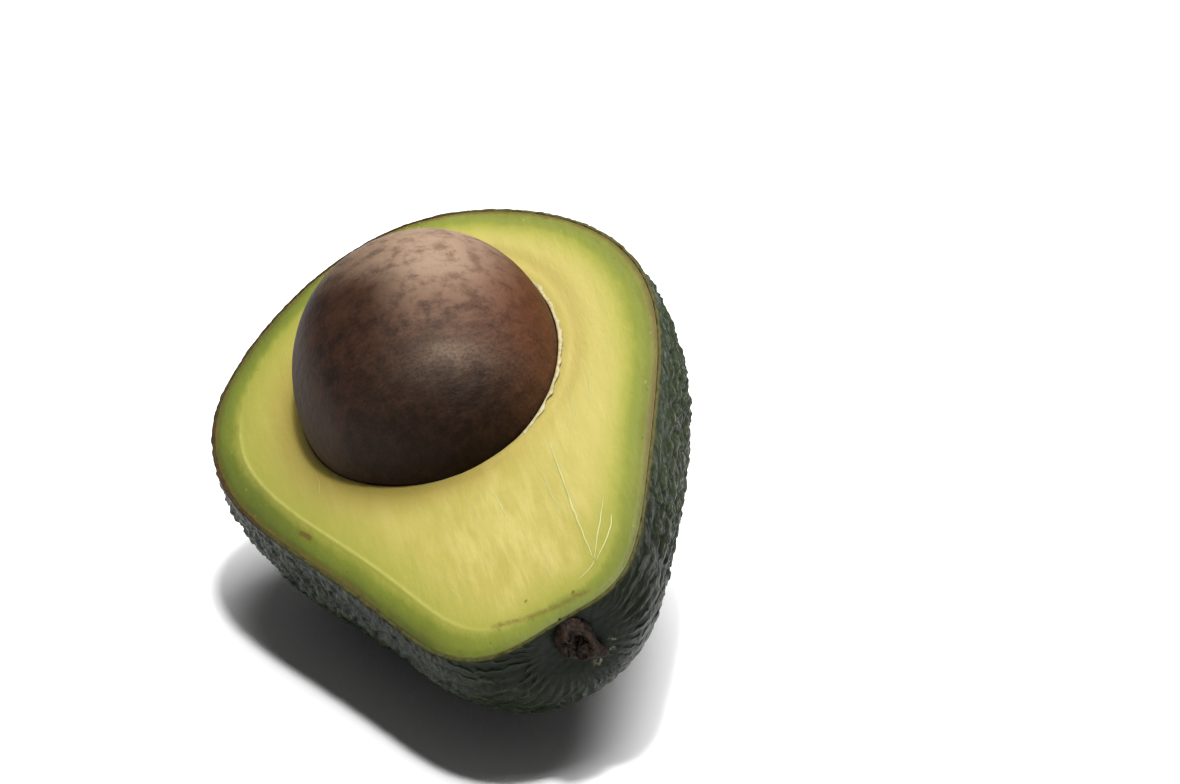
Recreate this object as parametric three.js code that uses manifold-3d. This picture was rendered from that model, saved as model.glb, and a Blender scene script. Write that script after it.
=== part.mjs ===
// A ripe avocado cut in half lengthwise: the half that keeps its seed, lying on the underside of its peel.
// Millimetres. The half is drawn in its own cut frame, with the cut face on z = 0, the blossom end
// towards +Y, the stem end towards -Y and the body below. At the end it is leaned over to the way it
// lies at rest, with the middle of its resting spot at the origin and +Z up.

import * as THREE from 'three';
import * as BufferGeometryUtils from 'three/addons/utils/BufferGeometryUtils.js';
import Module from 'manifold-3d';

// Whole fruit
const LENGTH = 96;
const HALF_WIDTH = 33.5;

// Pear shape: how much each cosine of the angle from the blossom end swells the round outline
const SWELL_TO_BLOSSOM = 0.125;
const SWELL_BOTH_ENDS = 0.011;
const WAIST_AT_NECK = -0.107;
const BLUNTNESS = 0.019;

// The knife passed a little beside the fruit's axis, so this half is the larger one
const AXIS_BELOW_CUT = 5.51;
const AXIS_TILT = 3.52;

// The axis bends a little sideways along the length
const BEND_ENDS = -1.0;
const BEND_MIDDLE = -0.45;
const BEND_S = -0.67;

// Peel, and the clear gap kept between neighbouring pieces
const PEEL = 1.2;
const GAP = 0.3;
const PEBBLE_PITCH = 7;
const PEBBLE_HEIGHT = 0.42;
const RIDGE_COUNT = 13;
const RIDGE_HEIGHT = 0.45;
const RIDGE_REACH = 21;

// Seed
const SEED_HALF_WIDTH = 18.8;
const SEED_HALF_LENGTH = 23.4;
const SEED_HALF_HEIGHT = 16.4;
const SEED_CENTRE = new THREE.Vector3(-1.2, 12.2, 1.0);
const SEED_TURN = 0.035;
const SEED_EGG = 0.03;

// Stem stub in its hollow
const STEM_X = 4.2;
const STEM_Z = -4.3;
const STEM_RADIUS = 2.8;
const STEM_WAIST = 2.45;
const STEM_STANDS = 2.5;
const STEM_BURIED = 2.4;
const DIMPLE_DEPTH = 2.7;
const DIMPLE_RADIUS = 6.8;

// Lie: the blossom end is up and the right side leans up, on a spot pressed flat in the peel
const PITCH_DEG = 16;
const ROLL_DEG = 25;
const SPOT_DEPTH = 0.75;
const SPOT_SMOOTH = 22;

// Facets
const AROUND = 80;
const PEEL_ROWS = 24;
const INNER_ROWS = 9;
const FACE_ROWS = 3;
const SEED_AROUND = 40;
const SEED_ROWS = 20;
const STEM_AROUND = 20;

// Rays that find the surface start here, on the cut face, and are stretched along the fruit
const RAY_START = new THREE.Vector3(0, 4, 0);
const RAY_STRETCH = 1.35;

const smoothstep = (low, high, value) => THREE.MathUtils.smoothstep(value, low, high);

// Outline: y = half length times cos t, radius = sin t swollen by the cosines above
const swollen = (t) => Math.sin(t) * (1 + SWELL_TO_BLOSSOM * Math.cos(t) + SWELL_BOTH_ENDS * Math.cos(2 * t)
  + WAIST_AT_NECK * Math.cos(3 * t) + BLUNTNESS * Math.cos(4 * t));

const OUTLINE_STEPS = 1500;
const outlineAngles = Array.from({ length: OUTLINE_STEPS + 1 }, (_, i) => Math.PI * (1 - i / OUTLINE_STEPS));
const outlineScale = HALF_WIDTH / Math.max(...outlineAngles.map(swollen));

// The outline moved inwards by a depth along its own normal, from the stem end to the blossom end
function outline(depth) {
  const step = 1e-4;
  return outlineAngles.map((t) => {
    const point = (angle) => new THREE.Vector2(LENGTH / 2 * Math.cos(angle), outlineScale * swollen(angle));
    const along = point(t + step).sub(point(t - step)).normalize();
    const inwards = new THREE.Vector2(-along.y, along.x);
    return point(t).addScaledVector(inwards, depth);
  });
}

// Section radius at y of a body inset by a depth: negative past either end
function radiusAt(curve, y) {
  let low = 0;
  let high = curve.length - 1;
  if (y <= curve[low].x || y >= curve[high].x) return -Math.abs(y);
  while (high - low > 1) {
    const middle = (low + high) >> 1;
    if (curve[middle].x <= y) low = middle;
    else high = middle;
  }
  const share = (y - curve[low].x) / (curve[high].x - curve[low].x);
  return THREE.MathUtils.lerp(curve[low].y, curve[high].y, share);
}

// Where the section's centre is at y
function sectionCentre(y) {
  const u = 0.5 - y / LENGTH;
  const x = BEND_ENDS * Math.cos(Math.PI * u) + BEND_MIDDLE * Math.sin(Math.PI * u)
    + BEND_S * Math.sin(2 * Math.PI * u);
  return new THREE.Vector2(x, -AXIS_BELOW_CUT - AXIS_TILT * y / LENGTH);
}

// Direction for a place on the bowl: turn goes round the cut face, dip goes from the face to straight down
function bowlDirection(turn, dip) {
  return new THREE.Vector3(
    Math.cos(turn) * Math.cos(dip),
    RAY_STRETCH * Math.sin(turn) * Math.cos(dip),
    -Math.sin(dip),
  ).normalize();
}

// The surface point that a ray meets, found by halving
function surfacePoint(curve, turn, dip) {
  const direction = bowlDirection(turn, dip);
  const point = new THREE.Vector3();
  let near = 0;
  let far = LENGTH;
  for (let i = 0; i < 40; i++) {
    const reach = (near + far) / 2;
    point.copy(RAY_START).addScaledVector(direction, reach);
    const centre = sectionCentre(point.y);
    const inside = Math.hypot(point.x - centre.x, point.z - centre.y) < radiusAt(curve, point.y);
    if (inside) near = reach;
    else far = reach;
  }
  return point;
}

// The hollow round the stem: the surface sinks towards +Y in a soft bell round the stem's line
function sinkAtStem(point) {
  const away = Math.hypot(point.x - STEM_X, point.z - STEM_Z);
  const atStemEnd = 1 - smoothstep(-40, -20, point.y);
  point.y += DIMPLE_DEPTH * Math.exp(-((away / DIMPLE_RADIUS) ** 2)) * atStemEnd;
  return point;
}

// Pebbles: the mean of six cosine waves along the six axes of an icosahedron, which never repeats
const GOLDEN = (1 + Math.sqrt(5)) / 2;
const waveAxes = [[0, 1, GOLDEN], [0, 1, -GOLDEN], [1, GOLDEN, 0], [1, -GOLDEN, 0], [GOLDEN, 0, 1], [-GOLDEN, 0, 1]]
  .map((axis) => new THREE.Vector3(...axis).normalize());

function pebble(point) {
  const sum = waveAxes.reduce((total, axis, i) => total + Math.cos(2 * Math.PI * point.dot(axis) / PEBBLE_PITCH + i), 0);
  return PEBBLE_HEIGHT * THREE.MathUtils.clamp(sum / 2.2, -1, 1);
}

// Ridges that run out from the stem and fade into the pebbles
function stemRidge(point) {
  const angle = Math.atan2(point.z - STEM_Z, point.x - STEM_X);
  const away = Math.hypot(point.x - STEM_X, point.z - STEM_Z, 0.6 * (point.y + LENGTH / 2));
  const band = smoothstep(4, 9, away) * (1 - smoothstep(13, RIDGE_REACH, away));
  return RIDGE_HEIGHT * band * Math.cos(RIDGE_COUNT * angle + 0.12 * away);
}

// One closed skin over a stack of rings of points, with a pole at each end
function closedOverRings(firstPole, rings, lastPole) {
  const around = rings[0].length;
  const points = [firstPole, ...rings.flat(), lastPole];
  const last = points.length - 1;
  const index = [];
  const at = (row, i) => 1 + row * around + (i % around);
  for (let i = 0; i < around; i++) {
    index.push(0, at(0, i + 1), at(0, i));
    for (let row = 0; row < rings.length - 1; row++) {
      index.push(at(row, i), at(row, i + 1), at(row + 1, i));
      index.push(at(row, i + 1), at(row + 1, i + 1), at(row + 1, i));
    }
    index.push(at(rings.length - 1, i), at(rings.length - 1, i + 1), last);
  }
  const geometry = new THREE.BufferGeometry().setFromPoints(points);
  geometry.setIndex(index);
  return geometry;
}

const turns = (count) => Array.from({ length: count }, (_, i) => 2 * Math.PI * i / count);

// Rows of a bowl from just off its bottom pole up to the cut face
function bowlRings(curve, rows) {
  return Array.from({ length: rows }, (_, row) => {
    const dip = Math.PI / 2 * (1 - (row + 1) / rows);
    return turns(AROUND).map((turn) => sinkAtStem(surfacePoint(curve, turn, dip)));
  });
}

const bowlBottom = (curve) => surfacePoint(curve, 0, Math.PI / 2);

// The lie: up in the cut frame, and the lowest smooth point of the peel
const lie = new THREE.Euler(THREE.MathUtils.degToRad(PITCH_DEG), THREE.MathUtils.degToRad(-ROLL_DEG), 0, 'YXZ');
const toRest = new THREE.Matrix4().makeRotationFromEuler(lie);
const outerCurve = outline(0);
const smoothOuter = bowlRings(outerCurve, 90).flat();
const lowest = smoothOuter.reduce((best, point) => {
  const height = point.clone().applyMatrix4(toRest).z;
  return height < best.height ? { height, point } : best;
}, { height: Infinity, point: null }).point;

// Raises the relief out of an outer ring point; the rim keeps to the cut face
function raiseRelief(point) {
  const centre = sectionCentre(point.y);
  const outwards = new THREE.Vector3(point.x - centre.x, 0, point.z - centre.y).normalize();
  const clearOfSpot = smoothstep(SPOT_SMOOTH / 2, SPOT_SMOOTH, point.distanceTo(lowest));
  const fromStem = smoothstep(8, 24, Math.hypot(point.x - STEM_X, point.y + LENGTH / 2, point.z - STEM_Z));
  const height = pebble(point) * fromStem + stemRidge(point);
  const onRim = Math.abs(point.z) < 1e-6;
  const raised = point.clone().addScaledVector(outwards, height * clearOfSpot);
  if (onRim) raised.z = 0;
  return raised;
}

function peelGeometry() {
  const outer = bowlRings(outerCurve, PEEL_ROWS).map((ring) => ring.map(raiseRelief));
  const innerCurve = outline(PEEL);
  const inner = bowlRings(innerCurve, INNER_ROWS).reverse();
  return closedOverRings(bowlBottom(outerCurve), [...outer, ...inner], bowlBottom(innerCurve));
}

// A point of the seed, or of its hollow when grown by a clearance
function seedPoint(turn, dip, clearance) {
  const along = Math.sin(turn) * Math.cos(dip);
  const egg = 1 + SEED_EGG * along;
  return new THREE.Vector3(
    (SEED_HALF_WIDTH + clearance) * Math.cos(turn) * Math.cos(dip) * egg,
    (SEED_HALF_LENGTH + clearance) * along,
    -(SEED_HALF_HEIGHT + clearance) * Math.sin(dip) * egg,
  ).applyAxisAngle(new THREE.Vector3(0, 0, 1), SEED_TURN).add(SEED_CENTRE);
}

function seedRings(rows, around, clearance, firstDip, lastDip) {
  return Array.from({ length: rows }, (_, row) => {
    const dip = THREE.MathUtils.lerp(firstDip, lastDip, row / (rows - 1));
    return turns(around).map((turn) => seedPoint(turn, dip, clearance));
  });
}

function seedGeometry() {
  const first = Math.PI / 2 * (1 - 2 / (SEED_ROWS + 1));
  const rings = seedRings(SEED_ROWS, SEED_AROUND, 0, first, -first);
  return closedOverRings(seedPoint(0, Math.PI / 2, 0), rings, seedPoint(0, -Math.PI / 2, 0));
}

// Flesh: up the outside, across the cut face to the seed's hollow, and down into it
function fleshGeometry() {
  const curve = outline(PEEL + GAP);
  const outer = bowlRings(curve, INNER_ROWS);
  const rim = outer[outer.length - 1];
  const mouthDip = Math.asin(SEED_CENTRE.z / (SEED_HALF_HEIGHT + GAP));
  const hollow = seedRings(7, AROUND, GAP, mouthDip, Math.PI / 2 - 0.16);
  const mouth = hollow[0];
  mouth.forEach((point) => { point.z = 0; });
  const face = Array.from({ length: FACE_ROWS }, (_, row) => rim.map(
    (point, i) => point.clone().lerp(mouth[i], (row + 1) / (FACE_ROWS + 1)),
  ));
  return closedOverRings(bowlBottom(curve), [...outer, ...face, ...hollow], seedPoint(0, Math.PI / 2, GAP));
}

// Stem stub: a woody button on a short buried shank, turned about the stem's line
const dimpleFloor = sinkAtStem(new THREE.Vector3(STEM_X, -LENGTH / 2 + 0.4, STEM_Z)).y;

function stemGeometry(clearance) {
  const outside = STEM_STANDS + clearance;
  const profile = [
    [0, -STEM_BURIED - clearance],
    [STEM_WAIST * 0.8 + clearance, -STEM_BURIED - clearance],
    [STEM_WAIST + clearance, -STEM_BURIED * 0.6],
    [STEM_WAIST + clearance, STEM_STANDS * 0.15],
    [STEM_RADIUS + clearance, STEM_STANDS * 0.5],
    [STEM_RADIUS * 0.97 + clearance, STEM_STANDS * 0.78],
    [STEM_RADIUS * 0.78 + clearance, outside * 0.94],
    [STEM_RADIUS * 0.4, outside],
    [0, outside - 0.15],
  ].map(([radius, height]) => new THREE.Vector2(radius, height));
  const geometry = new THREE.LatheGeometry(profile, STEM_AROUND);
  geometry.rotateX(Math.PI);
  geometry.translate(STEM_X, dimpleFloor, STEM_Z);
  return geometry;
}

// Solids, for the cuts
const wasm = await Module();
wasm.setup();

function toSolid(geometry) {
  const bare = geometry.clone();
  bare.deleteAttribute('normal');
  bare.deleteAttribute('uv');
  const merged = BufferGeometryUtils.mergeVertices(bare, 1e-4);
  return new wasm.Manifold(new wasm.Mesh({
    numProp: 3,
    vertProperties: Float32Array.from(merged.attributes.position.array),
    triVerts: Uint32Array.from(merged.index.array),
  }));
}

function fromSolid(solid) {
  const mesh = solid.getMesh();
  const geometry = new THREE.BufferGeometry();
  geometry.setAttribute('position', new THREE.BufferAttribute(mesh.vertProperties, 3));
  geometry.setIndex(new THREE.BufferAttribute(mesh.triVerts, 1));
  geometry.computeVertexNormals();
  return geometry;
}

// The table top, as a slab in the cut frame whose upper side cuts the resting spot
function tableSlab() {
  const slab = new THREE.BoxGeometry(200, 200, 40);
  slab.translate(0, 0, -20 + SPOT_DEPTH);
  slab.applyMatrix4(toRest.clone().invert());
  slab.translate(lowest.x, lowest.y, lowest.z);
  return slab;
}

const stemSocket = toSolid(stemGeometry(GAP));
const peelSolid = toSolid(peelGeometry()).subtract(stemSocket).subtract(toSolid(tableSlab()));
const fleshSolid = toSolid(fleshGeometry()).subtract(stemSocket);

const pieces = [
  ['skin', fromSolid(peelSolid), { color: 0x2f3b2c, roughness: 0.5 }],
  ['flesh', fromSolid(fleshSolid), { color: 0xcfc66a, roughness: 0.45 }],
  ['seed', seedGeometry(), { color: 0x2e1a16, roughness: 0.3 }],
  ['stem_stub', stemGeometry(0), { color: 0x3a2620, roughness: 0.8 }],
];

const avocado = new THREE.Group();
for (const [name, geometry, finish] of pieces) {
  const mesh = new THREE.Mesh(geometry, new THREE.MeshStandardMaterial({ ...finish, metalness: 0 }));
  mesh.name = name;
  avocado.add(mesh);
}
avocado.rotation.copy(lie);
const restingPoint = lowest.clone().applyMatrix4(toRest);
avocado.position.set(-restingPoint.x, -restingPoint.y, -restingPoint.z - SPOT_DEPTH);

export default avocado;
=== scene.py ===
"""Halved avocado with its seed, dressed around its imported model.

Every shape is worked out in the fruit's own cut frame, in metres: the cut face is z = 0, the blossom end is
towards +Y, the stem end towards -Y and the body below. The lie then turns it to the way it rests.
"""

import bpy
import numpy as np
from bpy.props import FloatProperty, FloatVectorProperty, IntProperty, PointerProperty
from mathutils import Matrix, Vector


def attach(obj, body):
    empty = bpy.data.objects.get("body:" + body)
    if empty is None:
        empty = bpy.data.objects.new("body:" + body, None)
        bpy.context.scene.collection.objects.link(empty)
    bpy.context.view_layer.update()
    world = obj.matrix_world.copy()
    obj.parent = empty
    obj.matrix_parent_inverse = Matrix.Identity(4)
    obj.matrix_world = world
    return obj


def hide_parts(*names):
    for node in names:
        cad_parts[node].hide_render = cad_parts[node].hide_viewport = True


bl_info = {
    "name": "Halved Avocado",
    "version": (1, 0, 0),
    "blender": (4, 5, 0),
    "location": "View3D > Sidebar > Avocado",
    "description": "Builds the peel, flesh, seed and stem of a halved avocado on its packed model",
    "category": "Add Mesh",
}

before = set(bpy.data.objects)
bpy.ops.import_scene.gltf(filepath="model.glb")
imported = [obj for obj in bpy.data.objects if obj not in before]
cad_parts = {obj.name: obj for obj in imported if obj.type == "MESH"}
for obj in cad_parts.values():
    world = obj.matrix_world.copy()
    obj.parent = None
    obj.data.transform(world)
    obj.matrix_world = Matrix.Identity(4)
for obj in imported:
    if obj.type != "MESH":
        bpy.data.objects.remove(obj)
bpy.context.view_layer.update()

BODY = "root"
MM = 0.001
UP = np.array([0.0, 0.0, 1.0])

# Steps of the search for the lowest point of the smooth peel, as in the part's source
SEARCH_TURNS = 80
SEARCH_DIPS = 90

# Rays that find the surface start here, on the cut face, and are stretched along the fruit
RAY_START = np.array([0.0, 0.004, 0.0])
RAY_STRETCH = 1.35
RAY_HALVINGS = 36

# Heights over the floor at the resting spot, of the inside of the pressed peel and of the flesh on it
PRESSED_PEEL = 0.25 * MM
PRESSED_FLESH = 0.30 * MM

# How far under the cut plane the peel and the flesh start to follow the face's uneven edge
EDGE_REACH = 3.0 * MM

# How far along the fruit its smooth end is, on the line that the stem stands on
STEM_END = -47.6 * MM


def length(name, words, default):
    """A size in metres, given in millimetres."""
    return FloatProperty(name=name, description=words, default=default * MM, unit="LENGTH", precision=5)


def colour(name, words, default):
    """A colour that the user may change."""
    return FloatVectorProperty(
        name=name, description=words, default=default, subtype="COLOR", size=3, min=0.0, max=1.0
    )


class FruitShape(bpy.types.PropertyGroup):
    """The whole fruit's outline, the knife's cut and the way the half lies."""

    length: length("Length", "From the blossom end to the stem end", 96)
    half_width: length("Half width", "Radius of the widest round section", 33.5)
    to_blossom: FloatProperty(name="To blossom", description="Swell towards the blossom end", default=0.125)
    both_ends: FloatProperty(name="Both ends", description="Swell at both ends", default=0.011)
    neck: FloatProperty(name="Neck", description="Drawing in of the neck", default=-0.107)
    bluntness: FloatProperty(name="Bluntness", description="Blunt ends", default=0.019)
    below_cut: length("Axis below cut", "How far the axis is below the cut face at mid length", 5.51)
    tilt: length("Axis tilt", "How much lower the axis is at the blossom end", 3.52)
    bend_ends: length("Bend at ends", "Sideways offset of the axis at the ends", -1.0)
    bend_middle: length("Bend in middle", "Sideways offset of the axis at mid length", -0.45)
    bend_s: length("S bend", "Sideways S of the axis", -0.67)
    pitch: FloatProperty(
        name="Pitch", description="Blossom end up", default=np.radians(16), subtype="ANGLE", unit="ROTATION"
    )
    roll: FloatProperty(
        name="Roll", description="Right side up", default=np.radians(25), subtype="ANGLE", unit="ROTATION"
    )
    spot_depth: length("Spot depth", "Depth of the resting spot pressed into the peel", 0.75)


class PeelLook(bpy.types.PropertyGroup):
    """Thickness, relief and colours of the peel."""

    thickness: length("Thickness", "Thickness of the peel", 0.55)
    pebble_pitch: length("Pebble pitch", "Distance from pebble to pebble", 2.3)
    pebble_height: length("Pebble height", "Height of the pebbles over their creases", 0.68)
    deepest_crease: length("Deepest crease", "How far a crease goes under the smooth skin", 0.45)
    swell_height: length("Swell height", "Height of the broad unevenness", 0.34)
    ridge_count: IntProperty(name="Ridges", description="Ridges round the whole stem", default=34)
    ridge_height: length("Ridge height", "Height of the ridges that run out from the stem", 0.55)
    fold_count: IntProperty(name="Folds", description="Fine folds round half of the stem", default=21)
    hollow_depth: length("Stem hollow depth", "Depth of the hollow round the stem", 2.7)
    hollow_radius: length("Stem hollow radius", "Radius of the hollow round the stem", 6.8)
    # The dark green is the peel's own colour, and it is also the painted shade in the creases.
    dark: colour("Dark green", "Creases and the smooth skin at the stem", (0.004, 0.007, 0.0025))
    # The pale green is painted highlight on the tops of the pebbles, mixed with the peel's random paler tone.
    pale: colour("Pale green", "Tops of the pebbles", (0.040, 0.052, 0.026))
    rim_brown: colour("Rim brown", "Dried cut edge at the upper left", (0.030, 0.017, 0.007))
    rim_olive: colour("Rim olive", "Cut edge along the lower left", (0.046, 0.045, 0.013))
    rim_tan: colour("Rim tan", "Paler cut edge on the right", (0.085, 0.076, 0.026))


class FleshLook(bpy.types.PropertyGroup):
    """Bands of colour and knife marks of the cut flesh."""

    bevel_width: length("Bevel width", "Width of the bevel along the lower left edge", 4.0)
    bevel_drop: length("Bevel drop", "How far the bevel drops at the peel", 0.9)
    groove_depth: length("Groove depth", "Depth of the groove beside the seed", 0.22)
    groove_away: length("Groove distance", "From the seed to the middle of the groove", 2.4)
    edge_green: colour("Edge green", "Flesh against the peel", (0.060, 0.068, 0.012))
    deep_green: colour("Deep green", "Green band at lower left", (0.090, 0.108, 0.014))
    yellow_green: colour("Yellow green", "Where green turns to yellow", (0.225, 0.222, 0.036))
    pale_yellow: colour("Pale yellow", "Broad middle of the flesh", (0.300, 0.262, 0.054))
    soft_green: colour("Soft green", "Green band on the right", (0.168, 0.188, 0.034))
    cream: colour("Cream", "Palest flesh", (0.400, 0.338, 0.105))
    # The ochre also serves as the painted shadow of the seed on the flesh at its left.
    ochre: colour("Ochre", "Flesh against the seed", (0.290, 0.215, 0.045))
    stain: colour("Stain", "Bruises and specks", (0.10, 0.055, 0.012))
    strand: colour("Strand", "Pale strands", (0.37, 0.33, 0.095))


class SeedLook(bpy.types.PropertyGroup):
    """Size and colours of the seed and its papery coat."""

    half_width: length("Half width", "Half the width across the fruit", 18.8)
    half_length: length("Half length", "Half the length along the fruit", 23.4)
    half_height: length("Half height", "Half the height through the cut", 16.4)
    egg: FloatProperty(name="Egg", description="Swell towards the blossom end", default=0.03)
    skirt: FloatProperty(name="Skirt", description="Swell of the foot at lower left", default=0.045)
    skirt_turn: FloatProperty(
        name="Skirt turn", description="Where the foot swells", default=np.radians(200), subtype="ANGLE"
    )
    skirt_width: FloatProperty(
        name="Skirt width", description="How far round the foot swells", default=0.42, subtype="ANGLE"
    )
    turn: FloatProperty(name="Turn", description="Turn in the cut face", default=0.035, subtype="ANGLE")
    right: length("Right", "Sideways place of its middle", -1.2)
    along: length("Along", "Place of its middle along the fruit", 12.2)
    raised: length("Raised", "Height of its middle over the cut", 1.0)
    wear: length("Wear", "How far the uneven skin is under the smooth egg", 0.12)
    # The dark brown is the seed's own mottling and also the colour of its painted shade at the front.
    dark: colour("Dark brown", "Deep mottling", (0.0105, 0.0048, 0.0030))
    brown: colour("Brown", "Skin of the seed", (0.036, 0.0152, 0.0080))
    red: colour("Red brown", "Worn patches", (0.085, 0.028, 0.012))
    # The colour of the painted sheen and the painted glint on top of the seed.
    film_and_painted_sheen: colour("Pale film", "Dry pale skin on top", (0.262, 0.180, 0.124))
    coat: colour("Seed coat", "Papery coat left on the flesh", (0.38, 0.33, 0.175))


class StemLook(bpy.types.PropertyGroup):
    """Size, place and colours of the stem stub."""

    right: length("Right", "Sideways place of the stem", 4.2)
    below: length("Below cut", "Depth of the stem's line under the cut face", 4.3)
    half_width: length("Half width", "Half the width of the oval stub", 2.05)
    half_height: length("Half height", "Half its height through the cut", 3.5)
    raised: length("Raised", "Height of the oval's middle over the stem's line", 0.15)
    stands: length("Stands", "Height over the floor of its hollow", 2.5)
    buried: length("Buried", "Length inside the fruit", 2.4)
    cup: length("Cup", "Depth of the hollow in its top", 0.55)
    spine: length("Spine", "Height of the ridge through the cup", 0.85)
    pit: length("Pit", "Depth of the hole beside the ridge", 1.3)
    root: length("Root", "Reach of the root at lower right", 2.3)
    collar: length("Collar", "Swell round the foot", 0.5)
    bark: colour("Bark", "Dry stub", (0.0080, 0.0048, 0.0030))
    worn: colour("Worn bark", "Worn edges of the stub", (0.040, 0.024, 0.016))


class StageLook(bpy.types.PropertyGroup):
    """Floor, lights and camera."""

    floor: colour("Floor", "Plain pale floor", (0.93, 0.93, 0.93))
    floor_side: FloatProperty(name="Floor side", description="Floor to each side", default=0.6, unit="LENGTH")
    floor_front: FloatProperty(name="Floor front", description="Floor in front", default=0.17, unit="LENGTH")
    floor_back: FloatProperty(name="Floor back", description="Floor behind", default=0.8, unit="LENGTH")
    key_power: FloatProperty(name="Key power", description="Power of the small bright light", default=12.0)
    soft_power: FloatProperty(name="Soft power", description="Power of the wide overhead light", default=23.0)
    surround: FloatProperty(name="Surround", description="Brightness of the white surround", default=0.10)


def settings(name):
    """The scene's settings of that name."""
    return getattr(bpy.context.scene, name)


# Numbers on whole arrays


def smoothstep(low, high, value):
    """0 below low and 1 above high, with 3s^2 - 2s^3 between."""
    s = np.clip((value - low) / (high - low), 0.0, 1.0)
    return s * s * (3.0 - 2.0 * s)


def bell(distance, radius):
    """1 at no distance, falling off as e^-(distance / radius)^2."""
    return np.exp(-((distance / radius) ** 2))


def lattice_hash(cell, seed, count):
    """Whole numbers below count for cells of a lattice, from products of their indices with large primes."""
    mixed = cell[..., 0] * 73856093 ^ cell[..., 1] * 19349663 ^ cell[..., 2] * 83492791 ^ seed * 2654435761
    mixed = (mixed ^ (mixed >> 13)) * 1274126177
    return ((mixed ^ (mixed >> 16)) & 0x7FFFFFFF) % count


def lattice_noise(points, pitch, seed):
    """Smooth noise from about -1 to 1. Each corner of a cubic lattice has a random slope, and the heights
    that the eight slopes round a point give it are blended by 6t^5 - 15t^4 + 10t^3."""
    slopes = np.random.default_rng(seed).normal(size=(256, 3))
    slopes /= np.linalg.norm(slopes, axis=1, keepdims=True)
    at = points / pitch
    cell = np.floor(at).astype(np.int64)
    part = at - cell
    blend = part**3 * (part * (6.0 * part - 15.0) + 10.0)
    total = np.zeros(points.shape[:-1])
    for corner in np.ndindex(2, 2, 2):
        step = np.array(corner)
        slope = slopes[lattice_hash(cell + step, seed, 256)]
        height = ((part - step) * slope).sum(-1)
        weight = np.where(step == 1, blend, 1.0 - blend).prod(-1)
        total += weight * height
    return 1.6 * total


def layered_noise(points, pitch, seed, layers):
    """Noise with finer layers on it, each half as wide and half as high."""
    total = sum(0.5**i * lattice_noise(points, pitch * 0.5**i, seed + i) for i in range(layers))
    return total / (2.0 - 0.5 ** (layers - 1))


def cell_creases(points, pitch, seed):
    """For a lattice with one jittered point in each cell: how much further the second nearest point is than
    the nearest, in pitches, which is 0 along the creases between cells and grows towards their middles."""
    places = np.random.default_rng(seed).uniform(0.1, 0.9, size=(512, 3))
    at = points / pitch
    cell = np.floor(at).astype(np.int64)
    nearest = np.full(points.shape[:-1], 9.0)
    second = nearest.copy()
    for step in np.ndindex(3, 3, 3):
        other = cell + np.array(step) - 1
        away = np.linalg.norm(other + places[lattice_hash(other, seed, 512)] - at, axis=-1)
        second = np.minimum(second, np.maximum(nearest, away))
        nearest = np.minimum(nearest, away)
    return second - nearest


def distance_to_path(points, path):
    """Shortest distance in the cut face from each point to a path of straight stretches."""
    flat = points[..., :2]
    nearest = np.full(flat.shape[:-1], np.inf)
    for start, end in zip(path[:-1], path[1:]):
        run = end[:2] - start[:2]
        share = np.clip(((flat - start[:2]) @ run) / (run @ run + 1e-18), 0.0, 1.0)
        foot = start[:2] + share[..., None] * run
        nearest = np.minimum(nearest, np.linalg.norm(flat - foot, axis=-1))
    return nearest


def row_normals(rows):
    """Unit normals of a grid that closes round, from the cross product of its two directions."""
    along = np.roll(rows, -1, axis=1) - np.roll(rows, 1, axis=1)
    across = np.gradient(rows, axis=0)
    normal = np.cross(along, across)
    return normal / np.maximum(np.linalg.norm(normal, axis=-1, keepdims=True), 1e-12)


# The fruit's smooth surface


def outline(depth):
    """Outline of the fruit moved inwards by a depth: y = half length times cos t and radius = sin t swollen
    by cosines of t, 2t, 3t and 4t, then moved along its own normal. Runs from the stem end up."""
    shape = settings("avocado_fruit")
    t = np.linspace(np.pi, 0.0, 1501)
    swell = 1.0 + shape.to_blossom * np.cos(t) + shape.both_ends * np.cos(2 * t)
    swell += shape.neck * np.cos(3 * t) + shape.bluntness * np.cos(4 * t)
    y = 0.5 * shape.length * np.cos(t)
    radius = np.sin(t) * swell
    radius *= shape.half_width / radius.max()
    run_y = np.gradient(y)
    run_r = np.gradient(radius)
    run = np.hypot(run_y, run_r)
    return y + depth * run_r / run, radius - depth * run_y / run


def section_centre(y):
    """Sideways place and height of the round section's centre at y."""
    shape = settings("avocado_fruit")
    u = 0.5 - y / shape.length
    bend = shape.bend_ends * np.cos(np.pi * u) + shape.bend_middle * np.sin(np.pi * u)
    bend += shape.bend_s * np.sin(2 * np.pi * u)
    return bend, -shape.below_cut - shape.tilt * y / shape.length


def bowl_points(depth, turn, dip):
    """Points of the smooth half at a depth under its surface. A ray leaves the cut face's middle in the
    direction (cos turn cos dip, stretch sin turn cos dip, -sin dip), and where it meets the surface is found
    by halving. Near the stem the surface then sinks in a soft bell."""
    curve_y, curve_r = outline(depth)
    turn, dip = np.broadcast_arrays(turn, dip)
    ray = np.stack([np.cos(turn) * np.cos(dip), RAY_STRETCH * np.sin(turn) * np.cos(dip), -np.sin(dip)], -1)
    ray /= np.linalg.norm(ray, axis=-1, keepdims=True)
    near = np.zeros(turn.shape)
    far = np.full(turn.shape, 0.1)
    for _ in range(RAY_HALVINGS):
        reach = 0.5 * (near + far)
        point = RAY_START + reach[..., None] * ray
        centre_x, centre_z = section_centre(point[..., 1])
        radius = np.interp(point[..., 1], curve_y, curve_r, left=-1.0, right=-1.0)
        inside = np.hypot(point[..., 0] - centre_x, point[..., 2] - centre_z) < radius
        near = np.where(inside, reach, near)
        far = np.where(inside, far, reach)
    return sink_at_stem(RAY_START + near[..., None] * ray)


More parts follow.
